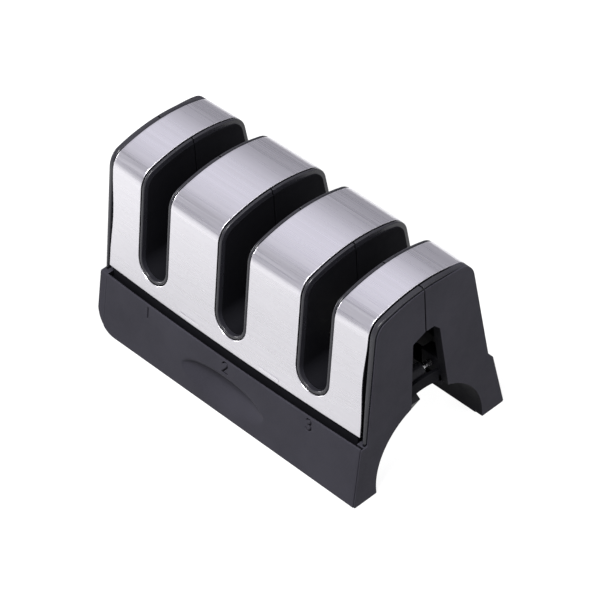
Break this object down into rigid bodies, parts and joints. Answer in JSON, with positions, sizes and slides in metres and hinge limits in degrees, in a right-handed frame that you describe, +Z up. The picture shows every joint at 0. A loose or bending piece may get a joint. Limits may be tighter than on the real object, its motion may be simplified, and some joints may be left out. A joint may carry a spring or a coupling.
{
  "type": "knife sharpener head",
  "caption": "Saddle-shaped knife sharpener head with numbered pull-through slots: carbide vee, diamond and ceramic wheels, brushed steel cover, sprung latches underneath.",
  "frame": {"origin": "on the table under the centre of the housing", "axes": "+X along the length from slot 1 to slot 3, -Y towards the front with the numbered skirt, +Z up"},
  "size_m": [0.0826, 0.0454, 0.0478],
  "materials": {
    "shell_plastic": "fine moulded grain",
    "cover_steel": "brushed along the length",
    "zinc_steel": "zinc plated",
    "holder_plastic": "moulded",
    "carbide": "ground",
    "diamond_grit": "coarse diamond grit on nickel",
    "ceramic": "fired ceramic",
    "hub_plastic": "moulded",
    "axle_steel": "ground",
    "washer_brass": "stamped",
    "latch_plastic": "moulded",
    "spring_steel": "drawn wire"
  },
  "bodies": {
    "housing": {"front_shell": "shell_plastic", "rear_shell": "shell_plastic", "steel_cover": "cover_steel", "shell_screws": "zinc_steel", "holder_front": "holder_plastic", "holder_rear": "holder_plastic", "carbide_blade_front": "carbide", "carbide_blade_rear": "carbide", "holder_screws": "zinc_steel", "diamond_axle": "axle_steel", "diamond_washers": "washer_brass", "ceramic_axle": "axle_steel", "ceramic_washers": "washer_brass", "latch_pin_left": "axle_steel", "latch_pin_right": "axle_steel", "latch_spring_left": "spring_steel", "latch_spring_right": "spring_steel"},
    "diamond_wheels": {"diamond_wheel_left": "diamond_grit", "diamond_wheel_right": "diamond_grit", "diamond_hub": "hub_plastic"},
    "ceramic_wheels": {"ceramic_wheel_left": "ceramic", "ceramic_wheel_right": "ceramic", "ceramic_hub": "hub_plastic"},
    "latch_left": {"latch_left": "latch_plastic"},
    "latch_right": {"latch_right": "latch_plastic"}
  },
  "joints": [
    {"name": "diamond_wheel_spin", "type": "hinge", "parent": "housing", "child": "diamond_wheels", "pos_m": [0, 0, 0.0245], "axis": [1, 0, 0], "continuous": true},
    {"name": "ceramic_wheel_spin", "type": "hinge", "parent": "housing", "child": "ceramic_wheels", "pos_m": [0.025, 0, 0.0245], "axis": [1, 0, 0], "continuous": true},
    {"name": "latch_left_swing", "type": "hinge", "parent": "housing", "child": "latch_left", "pos_m": [-0.0366, 0, 0.0204], "axis": [0, -1, 0], "range_deg": [0, 15], "stiffness_Nm_per_rad": 0.02, "springref_deg": -11.46, "deforming": ["latch_spring_left"]},
    {"name": "latch_right_swing", "type": "hinge", "parent": "housing", "child": "latch_right", "pos_m": [0.0366, 0, 0.0204], "axis": [0, 1, 0], "range_deg": [0, 15], "stiffness_Nm_per_rad": 0.02, "springref_deg": -11.46, "deforming": ["latch_spring_right"]}
  ]
}
